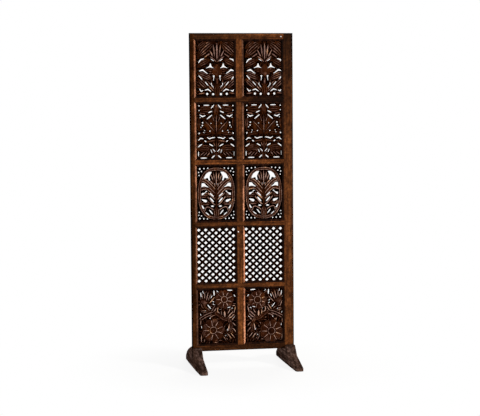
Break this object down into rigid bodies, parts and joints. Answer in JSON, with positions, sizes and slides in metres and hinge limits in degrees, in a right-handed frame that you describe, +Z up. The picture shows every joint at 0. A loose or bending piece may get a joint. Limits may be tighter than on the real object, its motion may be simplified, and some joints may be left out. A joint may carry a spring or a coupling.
{
  "type": "room divider",
  "caption": "Free-standing carved wooden jali screen: a tall frame of pierced floral boards and diamond lattice, held upright by slotted feet across its ends.",
  "frame": {"origin": "on the floor, below the middle of the panel", "axes": "+X along the panel to the viewer's right, -Y out of the front, +Z up"},
  "size_m": [0.6, 0.56, 1.921],
  "materials": {
    "frame_wood": "dark walnut stain, satin wax",
    "bead_wood": "dark walnut stain, rubbed edges",
    "carved_wood": "dark walnut stain, rubbed high points",
    "lattice_wood": "dark walnut stain",
    "peg_wood": "end grain, stained",
    "foot_wood": "dark stain, semi-gloss",
    "nail_steel": "worn bright"
  },
  "bodies": {
    "panel": {"left_stile": "frame_wood", "right_stile": "frame_wood", "top_rail": "frame_wood", "bottom_rail": "frame_wood", "cross_rail_1": "frame_wood", "cross_rail_2": "frame_wood", "cross_rail_3": "frame_wood", "cross_rail_4": "frame_wood", "centre_post_1": "frame_wood", "centre_post_2": "frame_wood", "centre_post_3": "frame_wood", "centre_post_4": "frame_wood", "centre_post_5": "frame_wood", "front_beads_left_1": "bead_wood", "front_beads_left_2": "bead_wood", "front_beads_left_3": "bead_wood", "front_beads_left_4": "bead_wood", "front_beads_left_5": "bead_wood", "front_beads_right_1": "bead_wood", "front_beads_right_2": "bead_wood", "front_beads_right_3": "bead_wood", "front_beads_right_4": "bead_wood", "front_beads_right_5": "bead_wood", "back_beads_left_1": "bead_wood", "back_beads_left_2": "bead_wood", "back_beads_left_3": "bead_wood", "back_beads_left_4": "bead_wood", "back_beads_left_5": "bead_wood", "back_beads_right_1": "bead_wood", "back_beads_right_2": "bead_wood", "back_beads_right_3": "bead_wood", "back_beads_right_4": "bead_wood", "back_beads_right_5": "bead_wood", "fan_leaf_board_left": "carved_wood", "fan_leaf_board_right": "carved_wood", "heart_palmette_board_left": "carved_wood", "heart_palmette_board_right": "carved_wood", "oval_tree_board_left": "carved_wood", "oval_tree_board_right": "carved_wood", "flower_board_left": "carved_wood", "flower_board_right": "carved_wood", "lattice_front_slats_left": "lattice_wood", "lattice_front_slats_right": "lattice_wood", "lattice_back_slats_left": "lattice_wood", "lattice_back_slats_right": "lattice_wood", "tenon_pegs": "peg_wood", "domed_nails": "nail_steel"},
    "left_foot": {"left_foot": "foot_wood"},
    "right_foot": {"right_foot": "foot_wood"}
  },
  "joints": [
    {"name": "left_foot_pull", "type": "slide", "parent": "panel", "child": "left_foot", "axis": [0, 0, -1], "range_m": [0, 0.06]},
    {"name": "right_foot_pull", "type": "slide", "parent": "panel", "child": "right_foot", "axis": [0, 0, -1], "range_m": [0, 0.06]}
  ]
}
